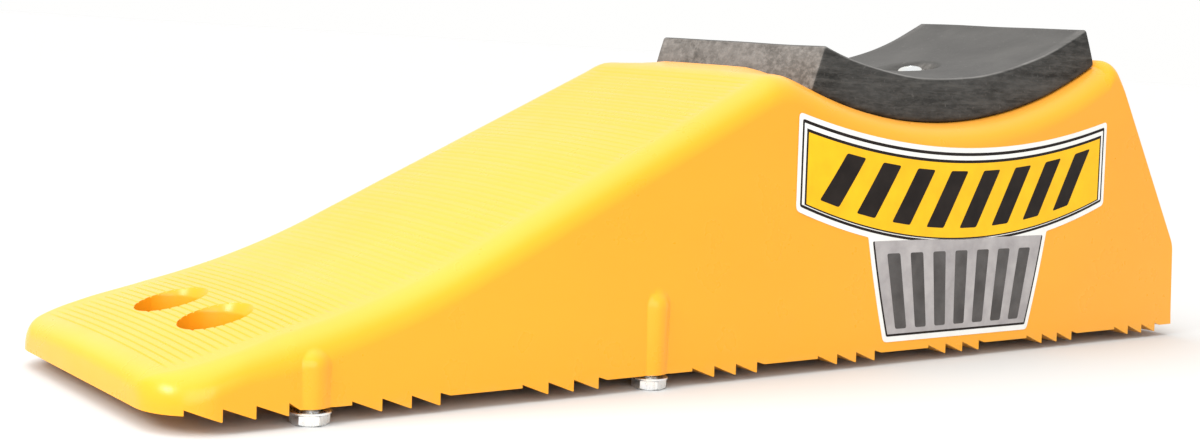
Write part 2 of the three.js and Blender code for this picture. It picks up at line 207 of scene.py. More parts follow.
def loft(rings, hollow=False):
    """(points, faces) of a skin over rings of equal length: its ends are capped, or joined if hollow."""
    rings = [np.asarray(ring, float) for ring in rings]
    levels, count = len(rings), len(rings[0])
    points = np.concatenate(rings)
    faces = []
    for level in range(levels if hollow else levels - 1):
        low, high = level * count, (level + 1) % levels * count
        for i in range(count):
            j = (i + 1) % count
            faces.append((low + i, low + j, high + j, high + i))
    if not hollow:
        faces.append(tuple(range(count))[::-1])
        faces.append(tuple(range(len(points) - count, len(points))))
    return points, faces


def full_turn(sides):
    """Evenly spaced angles round a circle."""
    return np.linspace(0, 2 * math.pi, sides, endpoint=False)


def circle(turn, radius, z):
    """A ring of points round Z at the angles in turn. radius and z may differ from angle to angle."""
    z = np.broadcast_to(z, turn.shape)
    return np.stack([radius * np.cos(turn), radius * np.sin(turn), z], 1)


def lathe(outline, sides=48):
    """(points, faces) of a body turned round Z. outline holds (radius, z) points.

    It runs from axis to axis, or it never touches the axis and makes a ring.
    """
    off_axis = [(r, z) for r, z in outline if r > 0]
    turn = full_turn(sides)
    return loft([circle(turn, r, z) for r, z in off_axis], hollow=len(off_axis) == len(outline))


def moved(part, matrix):
    """The same (points, faces) in another place."""
    points, faces = part
    return [tuple(matrix @ Vector(p)) for p in points], faces


def on_pad_axis(angle):
    """Places a part made on Z on a pad screw's axis: z is measured from the cradle's surface."""
    foot = (CRADLE_X + CRADLE_R * math.sin(angle), 0, CRADLE_Z - CRADLE_R * math.cos(angle))
    return Matrix.Translation(foot) @ Matrix.Rotation(-angle, 4, "Y")


def boolean(piece, cutter, operation):
    """Cuts or joins two closed meshes, keeps the result in piece and removes the cutter."""
    modifier = piece.modifiers.new(operation, "BOOLEAN")
    modifier.object, modifier.operation, modifier.solver = cutter, operation, "MANIFOLD"
    shape = bpy.data.meshes.new_from_object(piece.evaluated_get(bpy.context.evaluated_depsgraph_get()))
    piece.modifiers.remove(modifier)
    old, piece.data = piece.data, shape
    bpy.data.meshes.remove(old)
    bpy.data.objects.remove(cutter)


# ---- ramp body ----------------------------------------------------------------------------------
def cradle_z(x):
    """Height of the cradle's round floor."""
    return CRADLE_Z - math.sqrt(CRADLE_R ** 2 - (x - CRADLE_X) ** 2)


def top_outline():
    """Side view of the upper surface, from the toe's nose to the foot of the back wall."""
    line = [(0, 10)]
    line += quadratic(line[-1], (0.6, 16.2), (9, 17.8), 10)
    line += straight(line[-1], (52, 29.2), 4)
    line += quadratic(line[-1], (92, 38), (127, 54.4), 20)
    line += straight(line[-1], (277, 125.9), 6)
    line += quadratic(line[-1], (281.5, 128.9), (286, 130.4), 6)
    line += straight(line[-1], (299, 132.8), 4)
    line += quadratic(line[-1], (306, 133.2), (309, 129), 10)
    line += straight(line[-1], (CRADLE_START, cradle_z(CRADLE_START)), 2)
    line += [(x, cradle_z(x)) for x in np.linspace(CRADLE_START, CRADLE_END, 73)[1:]]
    crest_x, crest_z = BACK_CREST
    line += quadratic(line[-1], (crest_x, crest_z + 2.2), (crest_x + 5, 141.7), 12)
    wall_x, wall_z = BACK_WALL_TOP
    line += straight(line[-1], (wall_x - 1.2, wall_z + 2), 4)
    line += quadratic(line[-1], (wall_x, wall_z), (wall_x + 0.2, wall_z - 2.4), 6)
    line += straight(line[-1], (LENGTH, 0.5), 5)
    return line


TOP = np.array(top_outline())


def top_z(x):
    """Height of the upper surface, without its crown and grooves."""
    return float(np.interp(x, TOP[:, 0], TOP[:, 1]))


def groove_profile(x):
    """1 at the bottom of a transverse groove and 0 on the land between two."""
    phase = (x / GROOVE_PITCH) % 1
    inside = GROOVES[0] <= x / GROOVE_PITCH < GROOVES[-1] + 0.6
    return float(np.interp(phase, [*GROOVE_SHAPE, 1], [0, 1, 1, 0, 0])) if inside else 0


def body_stations():
    """(x, top) of every section: the outline's points, the grooves' edges, the bosses and toe corners."""
    phases = (0.003, *GROOVE_SHAPE[1:3], GROOVE_SHAPE[3] - 0.003)
    extra = [(n + phase) * GROOVE_PITCH for n in GROOVES for phase in phases]
    extra += [x + off for x in BOLT_X for off in np.linspace(-9, 9, 49)]
    extra += list(np.linspace(9.5, CORNER_ROUND, 12))
    stations = [(x, z) for x, z in TOP] + [(x, top_z(x)) for x in extra]
    stations.sort(key=lambda station: (station[0], -station[1]))
    kept = [stations[0]]
    for x, z in stations[1:]:
        if math.dist((x, z), kept[-1]) > 0.04:
            kept.append((x, z))
    return kept


def groove_depth(x):
    """How deep the groove is cut at x: 0 between two grooves."""
    toe_depth, worn_depth = GROOVE_DEPTHS
    return groove_profile(x) * (toe_depth + (worn_depth - toe_depth) * float(smoothstep(x, *GROOVE_WEAR)))


def edge_radius(x, top):
    """Rounding of the top edges: smaller down the back, and only as large as the thin toe allows."""
    back = float(smoothstep(x, CRADLE_END, CRADLE_END + 15))
    edge = EDGE_ROUND + (BACK_EDGE_ROUND - EDGE_ROUND) * back
    nose_share = 0.85 - 0.3 * float(smoothstep(x, 8, 34))
    return max(min(edge, nose_share * (top - TOE_Z)), 0.2)


def half_width(x):
    """Half of the body's width at the tips of the teeth, narrower round the toe's corners."""
    into = max(CORNER_ROUND - x, 0)
    return HALF_WIDTH - (CORNER_ROUND - math.sqrt(CORNER_ROUND ** 2 - into ** 2))


def body_section(x, top):
    """One closed cross-section, from the foot of the right wall over the top to the left."""
    edge = edge_radius(x, top)
    wall_top = top - edge
    boss_zone = min(42, 0.75 * wall_top)           # more points up to here, for the bosses
    heights = np.concatenate([np.linspace(-1, boss_zone, 30), np.linspace(boss_zone, wall_top, 11)[1:]])
    y = half_width(x) - heights * math.tan(DRAFT)
    turn = np.linspace(0, math.pi / 2, 26)[1:]
    shoulder = y[-1]
    y = np.concatenate([y, shoulder - edge + edge * np.cos(turn)])
    z = np.concatenate([heights, wall_top + edge * np.sin(turn)])
    y = np.maximum(y, 0.1)
    y = with_boss(x, y, z)

    flat = shoulder - edge
    groove_end = min(GROOVE_HALF, flat - 0.8)
    inner = [share * groove_end for share in (0.87, 0.77, 0.66, 0.5, 0.25)]
    across = np.array([groove_end, groove_end - GROOVE_RUN_OUT, *inner])
    crown = CROWN * (1 - float(smoothstep(x, *CROWN_FADE)))
    deep = groove_depth(x)
    over = top + crown * (1 - (across / flat) ** 2)
    over[1:] -= deep
    y = np.concatenate([y, across])
    z = np.concatenate([z, over])
    z = z - lip_relief(x, top) * smoothstep(y, *LIP_CORNER) * np.clip(z / wall_top, 0, 1)
    middle = [(0, top + crown - deep)]
    right = list(zip(-y, z))
    left = list(zip(y, z))[::-1]
    return [(x, py, pz) for py, pz in right + middle + left]


def lip_relief(x, top):
    """How far the crest's corners sink, so that they run on from the cradle's edges."""
    if not CRADLE_START - 35 < x < CRADLE_START:
        return 0
    proud = top - cradle_z(x)
    softness = 3 * (1 - float(smoothstep(x, CRADLE_START - 16, CRADLE_START - 2)))
    return (proud + math.hypot(proud, softness)) / 2


def with_boss(x, y, z):
    """Swells the wall out over the upright bosses that hold the grip bolts, with a soft root."""
    for boss_x, boss_top in zip(BOLT_X, BOSS_TOPS):
        beside = abs(x - boss_x)
        if beside < BOSS_R + BOSS_BLEND:
            above = np.maximum(z - (boss_top - BOSS_R), 0)
            reach = BOSS_R ** 2 - beside ** 2 - above ** 2
            outside = np.sqrt(np.maximum(-reach, 0))
            boss = BOLT_Y + np.sqrt(np.maximum(reach, 0)) - 2 * outside
            mix = np.clip(0.5 + 0.5 * (boss - y) / BOSS_BLEND, 0, 1)
            y = y + (boss - y) * mix + BOSS_BLEND * mix * (1 - mix)
    return y


def toothed_block():
    """A block whose lower face carries the groups of saw teeth, used to trim the body's underside."""
    line = [(-2, TOE_Z)]
    for group, centre in enumerate(TOOTH_GROUPS):
        tip, valley, before = (0, VALLEY_Z, FLAT_Z) if group else (FIRST_TIP_Z, FIRST_VALLEY_Z, TOE_Z)
        line.append((centre - 2 * TOOTH, before))
        for tooth in (-1, 0, 1):
            x = centre + tooth * TOOTH
            line += [(x - TOOTH, valley), (x - TIP_FLAT - 0.5, tip + 0.12), (x - TIP_FLAT, tip)]
            line += [(x - 0.12, tip), (x, tip + 0.14)]
        line += [(centre + TOOTH, valley), (centre + 1.36 * TOOTH, FLAT_Z)]
    line += [(LENGTH + 2, FLAT_Z), (LENGTH + 2, 200), (-2, 200)]
    return loft([[(x, y, z) for x, z in line] for y in (-120, 120)])


def roof_z(x):
    """Height of a cell's roof under the deck."""
    slope = math.atan2(top_z(min(x + 3, LENGTH - 4)) - top_z(x - 3), 6)
    return top_z(x) - DECK / max(math.cos(slope), 0.5)


def rounded_rectangle(x0, x1, y0, y1, radius):
    """Corner-rounded rectangle as a closed list of (x, y), with extra points along x for a curved roof."""
    corner_steps, side_steps = 4, 6
    radius = min(radius, (x1 - x0) / 2 - 0.1, (y1 - y0) / 2 - 0.1)
    corners = [(x1 - radius, y1 - radius, 0), (x0 + radius, y1 - radius, 1),
               (x0 + radius, y0 + radius, 2), (x1 - radius, y0 + radius, 3)]
    line = []
    for cx, cy, quarter in corners:
        turn = (quarter + np.linspace(0, 1, corner_steps + 1)) * math.pi / 2
        line += [(cx + radius * math.cos(a), cy + radius * math.sin(a)) for a in turn]
        if quarter in (0, 2):
            far = x0 + radius if quarter == 0 else x1 - radius
            cut = np.linspace(cx, far, side_steps + 1)[1:-1]
            line += [(x, cy + radius * (1 if quarter == 0 else -1)) for x in cut]
    return line


def cell(x0, x1, y0, y1):
    """A hollow with rounded corners, a slight draft and a filleted roof that follows the top."""
    levels = [(0, None), (0.4, CELL_ROUND), (0.55, CELL_ROUND * 0.62)]
    levels += [(0.4 + CELL_ROUND * (1 - math.cos(a)), CELL_ROUND * (1 - math.sin(a)))
               for a in np.radians([20, 45, 70, 90])]
    rings = []
    for inset, below in levels:
        plan = rounded_rectangle(x0 + inset, x1 - inset, y0 + inset, y1 - inset, CELL_ROUND)
        rings.append([(x, y, -3 if below is None else roof_z(x) - below) for x, y in plan])
    return loft(rings)


def rib_stations(shift):
    """Where the short ribs cross: at each group of teeth and halfway between two."""
    groups = TOOTH_GROUPS[1:]
    middles = [(a + b) / 2 + shift for a, b in zip(groups, groups[1:])]
    return sorted(groups + middles)


def underside_cells():
    """The three rows of cells between the ribs, and a cell in each corner of the toe."""
    outer = (LONG_RIB_Y + RIB / 2, CELL_HALF)
    inner = LONG_RIB_Y - RIB / 2
    rows = [(*outer, 0), (-outer[1], -outer[0], 0), (-inner, inner, CENTRE_SHIFT)]
    made = []
    for y0, y1, shift in rows:
        start = TOE_CELL[1] + RIB
        for x in rib_stations(shift):
            made.append(cell(start, x - RIB / 2, y0, y1))
            start = x + RIB / 2
    for y0, y1 in ((TOE_CELL[2], CELL_HALF), (-CELL_HALF, -TOE_CELL[2])):
        made.append(cell(TOE_CELL[0], TOE_CELL[1], y0, y1))
    return made


def bolt_seats():
    """The stepped holes that take a washer's seat and a threaded insert."""
    bore = INSERT_R + GAP
    end = SEAT_Z + INSERT_LENGTH + 2 * GAP
    outline = [(0, -2), (SEAT_R, -2), (SEAT_R, SEAT_Z - 0.3), (SEAT_R - 0.3, SEAT_Z), (bore + 0.5, SEAT_Z),
               (bore, SEAT_Z + 0.5), (bore, end), (0, end)]
    places = [(x, side * BOLT_Y, 0) for x in BOLT_X for side in (-1, 1)]
    return [moved(lathe(outline), Matrix.Translation(place)) for place in places]


def finger_holes():
    """The holes through the toe: slightly drafted, and flared at the lip."""
    flared = HOLE_R + (HOLE_TOP - HOLE_LIP_Z) * math.tan(HOLE_FLARE)
    outline = [(0, -2), (HOLE_R + 0.25, -2), (HOLE_R - 0.15, HOLE_LIP_Z - 0.5), (HOLE_R, HOLE_LIP_Z + 0.4),
               (flared, HOLE_TOP), (0, HOLE_TOP)]
    places = [(HOLE_X, side * HOLE_Y, 0) for side in (-1, 1)]
    return [moved(lathe(outline, 96), Matrix.Translation(place)) for place in places]


def pad_bosses():
    """The bosses under the deck that the pad's screws pass through."""
    top, bottom = -3, -PAD_BOSS_DEPTH
    outline = [(0, top), (PAD_BOSS_R + 1.2, top), (PAD_BOSS_R, bottom + 3), (PAD_BOSS_R, bottom + 0.6),
               (PAD_BOSS_R - 0.6, bottom), (0, bottom)]
    return [moved(lathe(outline), on_pad_axis(a)) for a in SCREW_ANGLES.values()]


def pad_bores():
    """The bores for the pad's screws, long enough to pass through the pad, the deck and the bosses."""
    reach = 30
    outline = [(0, reach), (WASHER_BORE, reach), (WASHER_BORE, -reach), (0, -reach)]
    return [moved(lathe(outline, 32), on_pad_axis(a)) for a in SCREW_ANGLES.values()]


def make_ramp():
    """The moulded body: a grooved skin, trimmed to its teeth and hollowed from below."""
    shell = object_from("ramp_shell", *loft([body_section(x, top) for x, top in body_stations()]))
    boolean(shell, object_from("teeth", *toothed_block()), "INTERSECT")
    hollows = underside_cells() + bolt_seats() + finger_holes()
    boolean(shell, object_from("hollows", *joined(hollows)), "DIFFERENCE")
    boolean(shell, object_from("bosses", *joined(pad_bosses())), "UNION")
    boolean(shell, object_from("bores", *joined(pad_bores())), "DIFFERENCE")
    shade(shell.data, 28)
    return shell


# ---- rubber pad ---------------------------------------------------------------------------------
def pad_ring(angle, inset):
    """One cross-section of the pad at an angle round the cradle, drawn in by inset at its ends."""
    half, low, high = PAD_HALF - inset, GAP + inset, PAD_THICK - inset
    edge, foot = PAD_EDGE, PAD_FOOT_EDGE
    corner = np.linspace(0, math.pi / 2, 5)
    flat = np.linspace(-1, 1, 49)[1:-1] * (half - edge)
    sole = np.linspace(-1, 1, 49)[1:-1] * (half - foot)
    wall = np.linspace(low + foot, high - edge, 9)[1:-1]
    line = [(half - foot + foot * math.cos(a), low + foot - foot * math.sin(a)) for a in corner[::-1]]
    line += [(half, r) for r in wall]
    line += [(half - edge + edge * math.cos(a), high - edge + edge * math.sin(a)) for a in corner]
    line += [(y, high) for y in flat[::-1]]
    line += [(-half + edge - edge * math.sin(a), high - edge + edge * math.cos(a)) for a in corner]
    line += [(-half, r) for r in wall[::-1]]
    line += [(-half + foot - foot * math.cos(a), low + foot - foot * math.sin(a)) for a in corner]
    line += [(y, low) for y in sole]
    ring = []
    for y, height in line:
        height -= pad_sink(angle, y, height)
        y += pad_waver(angle, y, height)
        radius = CRADLE_R - height
        ring.append((CRADLE_X + radius * math.sin(angle), y, CRADLE_Z - radius * math.cos(angle)))
    return ring


def pad_sink(angle, y, height):
    """How far the upper surface is drawn down round each screw, and its slight unevenness."""
    share = np.clip((height - GAP) / (PAD_THICK - GAP), 0, 1) ** 2
    sink = 0
    for screw in SCREW_ANGLES.values():
        away = math.hypot((angle - screw) * (CRADLE_R - PAD_THICK), y)
        soft = 1 - float(smoothstep(away, DIMPLE_FLOOR_R, DIMPLE_R)) ** 0.75
        sink = max(sink, DIMPLE_DEPTH * soft)
    wave = 0.12 * math.sin(angle * 31 + y * 0.06) + 0.08 * math.sin(angle * 13 - y * 0.11 + 2)
    return share * (sink + 0.2 + wave)


def pad_waver(angle, y, height):
    """The sides are cut by hand, so they are not quite true."""
    side = np.clip(abs(y) / PAD_HALF, 0, 1) ** 12 * math.copysign(1, y)
    return side * (0.15 * math.sin(angle * 24 + height * 0.15) + 0.1 * math.sin(angle * 57 + 1) - 0.25)


def make_pad():
    """The rubber pad, bent to the cradle, with a dimple and a bore for each screw."""
    lower = CRADLE_R - GAP
    start, end = (math.asin((x - CRADLE_X) / lower) for x in (PAD_START, PAD_END))
    edge = PAD_EDGE / lower
    turn = np.radians([0, 25, 50, 75, 90])
    rounding = [(edge * (1 - math.cos(a)), PAD_EDGE * (1 - math.sin(a))) for a in turn]
    stations = [(start + step, inset) for step, inset in rounding]
    stations += [(angle, 0) for angle in np.linspace(start + edge, end - edge, 96)[1:-1]]
    stations += [(end - step, inset) for step, inset in rounding[::-1]]
    pad = object_from("rubber_pad", *loft([pad_ring(*s) for s in stations]), smooth_angle=40)
    boolean(pad, object_from("pad_bores", *joined(pad_bores())), "DIFFERENCE")
    shade(pad.data, 40)
    return pad


# ---- fasteners ----------------------------------------------------------------------------------
def chamfered_hex(flats, z0, z1, chamfer_low, chamfer_high, bore=0):
    """A hexagon whose corners are turned away by a 30 degree cone at the ends that ask for it."""
    turn = full_turn(48)
    apothem = flats / 2
    hexagon = apothem / np.cos((turn + math.pi / 6) % (math.pi / 3) - math.pi / 6)
    face = apothem - 0.35
    chamfer = (hexagon - face) * math.tan(math.radians(30))
    rings = []
    if chamfer_low:
        rings += [circle(turn, face, z0), circle(turn, hexagon, z0 + chamfer)]
    else:
        rings += [circle(turn, hexagon, z0)]
    if chamfer_high:
        rings += [circle(turn, hexagon, z1 - chamfer), circle(turn, face, z1)]
    else:
        rings += [circle(turn, hexagon, z1)]
    if not bore:
        return loft(rings)
    rings = [circle(turn, bore + 0.5, z0), *rings, circle(turn, bore + 0.5, z1)]
    rings += [circle(turn, bore, z1 - 0.5), circle(turn, bore, z0 + 0.5)]
    return loft(rings, hollow=True)


def threaded(radius, z0, z1):
    """Outline of a shank from its narrowed tip at z0 to z1, ringed like a thread."""
    step = math.copysign(THREAD_PITCH, z1 - z0)
    count = int(abs(z1 - z0) / THREAD_PITCH)
    root = radius - THREAD_DEPTH
    line = [(root - 0.3, z0)]
    for i in range(count):
        z = z0 + step * i
        line += [(root, z + 0.25 * step), (radius, z + 0.55 * step), (radius, z + 0.7 * step)]
    line += [(root, z0 + step * count), (radius, z1)]
    return line


def washer(name, outer, z0, thickness, matrix):
    """Flat washer with softened edges."""
    bore, soft = WASHER_BORE, 0.25
    outline = [(bore, z0 + soft), (bore + soft, z0), (outer - soft, z0), (outer, z0 + soft),
               (outer, z0 + thickness - soft), (outer - soft, z0 + thickness),
               (bore + soft, z0 + thickness), (bore, z0 + thickness - soft)]
    return object_from(name, *moved(lathe(outline, 64), matrix), smooth_angle=35)


def grip_bolt(name, matrix, head_turn):
    """Hexagon-headed bolt, head down, its shank threaded into the insert above."""
    head_top = BOLT_HEAD + HEADS_Z
    top = SEAT_Z + GAP + INSERT_LENGTH - 1
    hexagon = chamfered_hex(BOLT_FLATS, HEADS_Z, head_top, True, False)
    head = moved(hexagon, Matrix.Rotation(head_turn, 4, "Z"))
    outline = [(0, head_top - 0.4), (SHANK_R, head_top - 0.4)]
    outline += threaded(SHANK_R, top, head_top + 0.6)[::-1] + [(0, top)]
    shank = lathe(outline, 32)
    bolt = object_from(name, *moved(head, matrix), smooth_angle=25)
    boolean(bolt, object_from("shank", *moved(shank, matrix)), "UNION")
    shade(bolt.data, 25)
    return bolt


def insert(name, matrix):
    """Brass insert with two knurled bands."""
    z0, z1 = SEAT_Z + GAP, SEAT_Z + GAP + INSERT_LENGTH
    bands = [(0, 0), (0.3, KNURL), (5.4, KNURL), (5.8, 0), (7.2, 0), (7.6, KNURL), (12.7, KNURL), (13, 0)]
    teeth = 30
    turn = full_turn(2 * teeth)
    ridges = 0.5 + 0.5 * np.cos(teeth * turn)
    rings = [circle(turn, INSERT_R - KNURL + height * ridges, z0 + up) for up, height in bands]
    rings += [circle(turn, SHANK_R + GAP, z) for z in (z1, z0)]
    return object_from(name, *moved(loft(rings, hollow=True), matrix), smooth_angle=25)


def pad_screw(name, matrix):
    """Pan-headed screw with a cross recess, through the pad and the deck to a nut underneath."""
    under = PAD_THICK - DIMPLE_DEPTH + WASHER_THICK + 2 * GAP
    radius, height = SCREW_HEAD_R, SCREW_HEAD_HIGH
    end = -(PAD_BOSS_DEPTH + WASHER_THICK + NUT_HIGH + SCREW_PROUD)
    dome = [(radius * math.cos(a), under + 0.9 + (height - 0.9) * math.sin(a))
            for a in np.radians([0, 15, 30, 45, 60, 75])]
    outline = [(0, end)] + threaded(SHANK_R, end, under - 20) + [(SHANK_R, under), (radius - 0.3, under)]
    outline += dome + [(0, under + height)]
    screw = object_from(name, *moved(lathe(outline), matrix), smooth_angle=30)
    for turn in (20, 110):
        arm = moved(cross_arm(under + height), Matrix.Rotation(math.radians(turn), 4, "Z"))
        boolean(screw, object_from("cross_arm", *moved(arm, matrix)), "DIFFERENCE")
    shade(screw.data, 30)
    return screw


def cross_arm(top):
    """One tapered blade of a cross recess."""
    rings = []
    for z, long, wide in ((top + 1, 3.1, 0.8), (top - 0.6, 2.8, 0.7), (top - 2.2, 1.1, 0.45)):
        rings.append([(-long, -wide, z), (long, -wide, z), (long, wide, z), (-long, wide, z)])
    return loft(rings)


# ---- decals -------------------------------------------------------------------------------------
DECAL_MIDDLE = centre_of("side_decal_right").x
DECAL_HALF = 115
DECAL_TOP, DECAL_ARCH = 115, 15                    # upper corners, and how far the arch drops between
DECAL_LOW, DECAL_LOW_ARCH = 71, 19.7
PANEL_FOOT, PANEL_FULL, PANEL_HEAD = 8, 58, 56     # heights of its foot, of its full width and of its end
PANEL_FOOT_HALF, PANEL_TOP_HALF, PANEL_BOW = 54, 67, 2.5
BAR_LEAN, BAR_WIDE, BAR_REACH = 17, 12.5, (0.1, 0.9)   # the reach in shares of the yellow field's height
PANEL_BAR_SHARE, PANEL_BAR_REACH = 0.07, (14, 50)  # half a bar's width as a share, and its heights


def banner_edges(x):
    """Heights of the banner's upper and lower edge at x from its middle."""
    share = 1 - (x / DECAL_HALF) ** 2
    return DECAL_TOP - DECAL_ARCH * share, DECAL_LOW - DECAL_LOW_ARCH * share


def banner(inset_top, inset_side, inset_low):
    """The curved banner, drawn in from its edges, as (x, z) points."""
    half = DECAL_HALF - inset_side
    across = np.linspace(-half, half, 41)
    upper, lower = banner_edges(across)
    return list(zip(across, upper - inset_top)) + list(zip(across, lower + inset_low))[::-1]


def panel_half(z):
    """Half of the panel's width at a height, with straight sides."""
    share = (z - PANEL_FOOT) / (PANEL_FULL - PANEL_FOOT)
    return PANEL_FOOT_HALF + (PANEL_TOP_HALF - PANEL_FOOT_HALF) * share


def panel_side(inset):
    """Right-hand edge of the panel, from its foot up, slightly bowed."""
    up = np.linspace(PANEL_FOOT + inset, PANEL_HEAD, 11)
    share = (up - PANEL_FOOT) / (PANEL_FULL - PANEL_FOOT)
    return list(zip(panel_half(up) + PANEL_BOW * share * (1 - share) - inset, up))


def panel(inset):
    """The tapering panel that hangs under the banner."""
    right = panel_side(inset)
    return [(-x, z) for x, z in right[::-1]] + right


def film_outline():
    """Outer edge of the whole film: the banner with the panel under it."""
    upper_x = np.linspace(-DECAL_HALF, DECAL_HALF, 41)
    low_x = np.linspace(DECAL_HALF, PANEL_TOP_HALF, 8)
    right = list(zip(low_x, banner_edges(low_x)[1])) + panel_side(0)[::-1]
    return list(zip(upper_x, banner_edges(upper_x)[0])) + right + [(-x, z) for x, z in right[::-1]]


def soften_corners(line, radius):
    """Rounds the sharp corners of a closed outline."""
    made = []
    for i, here in enumerate(line):
        before, after = Vector(line[i - 1]), Vector(line[(i + 1) % len(line)])
        here = Vector(here)
        a, b = before - here, after - here
        if a.length < 1e-6 or b.length < 1e-6:
            continue
        if math.degrees(a.angle(b)) > 150:
            made.append(tuple(here))
            continue
        reach = min(radius, 0.45 * a.length, 0.45 * b.length)
        start, end = here + a.normalized() * reach, here + b.normalized() * reach
        made += [tuple(start)] + quadratic(tuple(start), tuple(here), tuple(end), 4)
    return made


def banner_bar(at):
    """A slanting bar on the banner's yellow field, as (x, z) points."""
    def point(x, share):
        high, low = banner_edges(x)
        high, low = high - 7.8, low + 6.2
        return (x, low + (high - low) * share)
    foot, head = BAR_REACH
    climb = np.linspace(0, 1, 5)
    left = [point(at - BAR_LEAN / 2 + BAR_LEAN * t, foot + (head - foot) * t) for t in climb]
    right = [point(at + BAR_WIDE - BAR_LEAN / 2 + BAR_LEAN * t, foot + (head - foot) * t) for t in climb]
    return left + right[::-1]


def panel_bar(share):
    """An upright bar on the panel that leans with the panel's taper."""
    heights = np.linspace(*PANEL_BAR_REACH, 4)
    left = [((share - PANEL_BAR_SHARE) * panel_half(z), z) for z in heights]
    right = [((share + PANEL_BAR_SHARE) * panel_half(z), z) for z in heights]
    return left + right[::-1]


def film_layer(line, low, high, side):
    """A flat layer of film on the drafted side wall: low and high are distances off the wall."""
    rings = []
    for off in (low, high):
        ring = []
        for x, up in line:
            y = HALF_WIDTH - up * math.sin(DRAFT) + off * math.cos(DRAFT)
            ring.append((DECAL_MIDDLE + x, side * y, up * math.cos(DRAFT) + off * math.sin(DRAFT)))
        rings.append(ring)
    return loft(rings)


def make_decal(name, side, materials):
    """A white film printed with a plain banner of slanting bars over a plain grey panel."""
    bars = [banner_bar(x) for x in np.linspace(-92, 79.5, 8)]
    grey_bars = [panel_bar(share) for share in np.linspace(-0.76, 0.76, 7)]
    layers = [                                     # colour, lowest and highest point off the wall, outlines
        ("white", (0.04, 0.22), [soften_corners(film_outline(), 2.4)]),
        ("black", (0.24, 0.28), [soften_corners(banner(2.4, 2.2, 2.6), 1.2), soften_corners(panel(2.6), 1)]),
        ("white", (0.3, 0.34), [banner(3.9, 3.3, 3.9)]),
        ("grey", (0.3, 0.34), [panel(3.7)]),
        ("black", (0.36, 0.4), [banner(6, 4.9, 4.3)]),
        ("yellow", (0.42, 0.46), [banner(7.4, 6, 5)]),
        ("black", (0.48, 0.52), [soften_corners(bar, 1.2) for bar in bars]),
        ("dark_grey", (0.36, 0.4), [soften_corners(bar, 1.2) for bar in grey_bars]),
    ]
    parts, colours = [], []
    for colour, heights, outlines in layers:
        for line in outlines:
            part = film_layer(line, *heights, side)
            parts.append(part)
            colours += [colour] * len(part[1])
    decal = object_from(name, *joined(parts))
    names = list(materials)
    for key in names:
        decal.data.materials.append(materials[key])
    decal.data.polygons.foreach_set("material_index", [names.index(c) for c in colours])
    return decal


# ---- materials ----------------------------------------------------------------------------------
class Nodes:
    """A few short words for building a node material."""

    def __init__(self, name):
        self.material = bpy.data.materials.new(name)
        self.material.use_nodes = True
        self.tree = self.material.node_tree
        self.shader = self.tree.nodes["Principled BSDF"]
        self.place = self.add("ShaderNodeTexCoord").outputs["Object"]

    def add(self, kind, inputs=(), **settings):
        node = self.tree.nodes.new(kind)
        for key, value in settings.items():
            setattr(node, key, value)
        for key, value in dict(inputs).items():
            self.feed(node.inputs[key], value)
        return node

    def feed(self, socket, value):
        if isinstance(value, bpy.types.NodeSocket):
            self.tree.links.new(value, socket)
        else:
            socket.default_value = value

    def stretched(self, x, y, z):
        """The place with its axes scaled: a pattern gets longer along an axis below 1."""
        return self.add("ShaderNodeMapping", {"Vector": self.place, "Scale": (x, y, z)}).outputs[0]

    def split(self, vector):
        return self.add("ShaderNodeSeparateXYZ", {"Vector": vector}).outputs

    def facing(self):
        """The surface's own direction, as X, Y and Z."""
        return self.split(self.add("ShaderNodeNewGeometry").outputs["Normal"])

    def noise(self, scale, detail, roughness, vector=None, distortion=0):
        return self.add("ShaderNodeTexNoise", {
            "Vector": vector or self.place, "Scale": scale, "Detail": detail,
            "Roughness": roughness, "Distortion": distortion}).outputs["Fac"]

    def ranged(self, value, low, high, to_low=0, to_high=1):
        """to_low up to low, to_high from high on and a straight line between."""
        return self.add("ShaderNodeMapRange", {
            "Value": value, "From Min": low, "From Max": high,
            "To Min": to_low, "To Max": to_high}).outputs[0]

    def math(self, operation, a, b=0.5):
        return self.add("ShaderNodeMath", {0: a, 1: b}, operation=operation).outputs[0]

    def mix(self, share, a, b):
        """Colour a where share is 0 and b where it is 1. Several sockets share a name, but no identifier."""
        node = self.add("ShaderNodeMix", data_type="RGBA")
        for key, value in (("Factor_Float", share), ("A_Color", a), ("B_Color", b)):
            socket = next(s for s in node.inputs if s.identifier == key)
            self.feed(socket, value)
        return next(s for s in node.outputs if s.identifier == "Result_Color")

    def bump(self, height, distance, strength, normal=None):
        inputs = {"Height": height, "Distance": distance, "Strength": strength}
        if normal is not None:
            inputs["Normal"] = normal
        return self.add("ShaderNodeBump", inputs).outputs[0]

    def finish(self, colour, roughness, normal=None, **fixed):
        """Joins up the shader. The values in fixed are set on its own sockets."""
        self.feed(self.shader.inputs["Base Color"], colour)
        self.feed(self.shader.inputs["Roughness"], roughness)
        if normal is not None:
            self.feed(self.shader.inputs["Normal"], normal)
        for key, value in fixed.items():
            self.shader.inputs[key.replace("_", " ")].default_value = value
        return self.material


